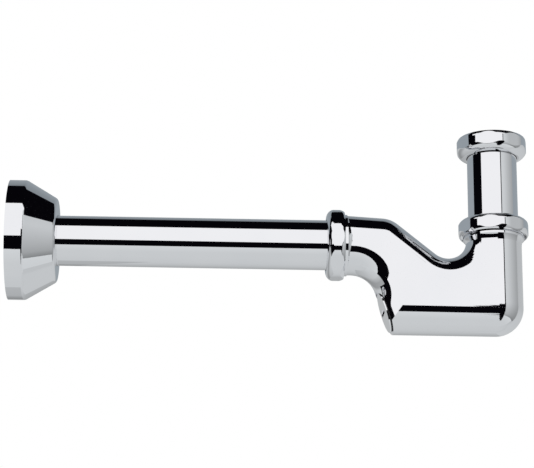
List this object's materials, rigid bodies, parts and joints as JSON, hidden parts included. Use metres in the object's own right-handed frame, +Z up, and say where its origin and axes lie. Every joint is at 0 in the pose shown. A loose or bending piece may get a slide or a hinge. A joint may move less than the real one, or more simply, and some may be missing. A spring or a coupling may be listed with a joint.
{
  "type": "basin trap",
  "caption": "Chromed basin trap: an inlet tube with union nut enters a cast trap body with a cleaning plug, and a horizontal outlet tube runs to a conical wall rosette.",
  "frame": {"origin": "centre of the inlet nut's open mouth, where the basin waste's tail enters", "axes": "+Z up along the inlet axis, out of the nut's mouth; the outlet tube runs along -X to the wall; the front is towards -Y"},
  "size_m": [0.3327, 0.0764, 0.131],
  "materials": {
    "nuts": "polished",
    "tubes": "polished",
    "body": "polished",
    "rosette": "polished",
    "plug": "polished",
    "seals": "matt",
    "rings": "matt"
  },
  "bodies": {
    "trap": {"trap_body": "body"},
    "coupling_ring": {"coupling_slip_ring": "rings"},
    "coupling_nut": {"coupling_nut": "nuts"},
    "inlet_swivel": {"coupling_seal": "seals"},
    "inlet_tube": {"inlet_tube": "tubes", "inlet_washer": "seals"},
    "inlet_ring": {"friction_ring": "rings"},
    "inlet_nut": {"inlet_nut": "nuts"},
    "outlet_ring": {"outlet_slip_ring": "rings"},
    "outlet_nut": {"outlet_nut": "nuts"},
    "outlet_swivel": {"outlet_seal": "seals"},
    "outlet_tube": {"outlet_tube": "tubes"},
    "rosette": {"rosette": "rosette"},
    "plug_gasket": {"plug_gasket": "seals"},
    "cleaning_plug": {"cleaning_plug": "plug"}
  },
  "joints": [
    {"name": "coupling_ring_slide", "type": "slide", "parent": "trap", "child": "coupling_ring", "axis": [0, 0, 1], "range_m": [0, 0.00924]},
    {"name": "coupling_nut_turn", "type": "hinge", "parent": "coupling_ring", "child": "coupling_nut", "pos_m": [0, 0, -0.0605], "axis": [0, 0, 1], "range_deg": [0, 1440]},
    {"name": "inlet_swivel_turn", "type": "hinge", "parent": "trap", "child": "inlet_swivel", "pos_m": [0, 0, -0.058], "axis": [0, 0, 1], "continuous": true},
    {"name": "inlet_tube_slide", "type": "slide", "parent": "inlet_swivel", "child": "inlet_tube", "axis": [0, 0, 1], "range_m": [0, 0.015]},
    {"name": "inlet_nut_slide", "type": "slide", "parent": "inlet_tube", "child": "inlet_ring", "axis": [0, 0, 1], "range_m": [-0.02, 0]},
    {"name": "inlet_nut_turn", "type": "hinge", "parent": "inlet_ring", "child": "inlet_nut", "pos_m": [0, 0, -0.006], "axis": [0, 0, 1], "continuous": true},
    {"name": "outlet_ring_slide", "type": "slide", "parent": "trap", "child": "outlet_ring", "axis": [-1, 0, 0], "range_m": [0, 0.00924]},
    {"name": "outlet_nut_turn", "type": "hinge", "parent": "outlet_ring", "child": "outlet_nut", "pos_m": [-0.103, 0, -0.073], "axis": [-1, 0, 0], "range_deg": [0, 1440]},
    {"name": "outlet_swivel_turn", "type": "hinge", "parent": "trap", "child": "outlet_swivel", "pos_m": [-0.104, 0, -0.073], "axis": [1, 0, 0], "continuous": true},
    {"name": "outlet_tube_slide", "type": "slide", "parent": "outlet_swivel", "child": "outlet_tube", "axis": [1, 0, 0], "range_m": [-0.01, 0.01]},
    {"name": "rosette_slide", "type": "slide", "parent": "outlet_tube", "child": "rosette", "axis": [1, 0, 0], "range_m": [0, 0.145]},
    {"name": "plug_gasket_slide", "type": "slide", "parent": "trap", "child": "plug_gasket", "axis": [-0.9532, 0, -0.3024], "range_m": [0, 0.006]},
    {"name": "cleaning_plug_turn", "type": "hinge", "parent": "plug_gasket", "child": "cleaning_plug", "pos_m": [-0.07004, 0, -0.11683], "axis": [-0.9532, 0, -0.3024], "range_deg": [0, 1440]}
  ],
  "couplings": [
    {"joint": "coupling_nut_turn", "follows": "coupling_ring_slide", "rad_per_m": 2721.1},
    {"joint": "outlet_nut_turn", "follows": "outlet_ring_slide", "rad_per_m": 2721.1},
    {"joint": "cleaning_plug_turn", "follows": "plug_gasket_slide", "rad_per_m": 4188.8}
  ]
}
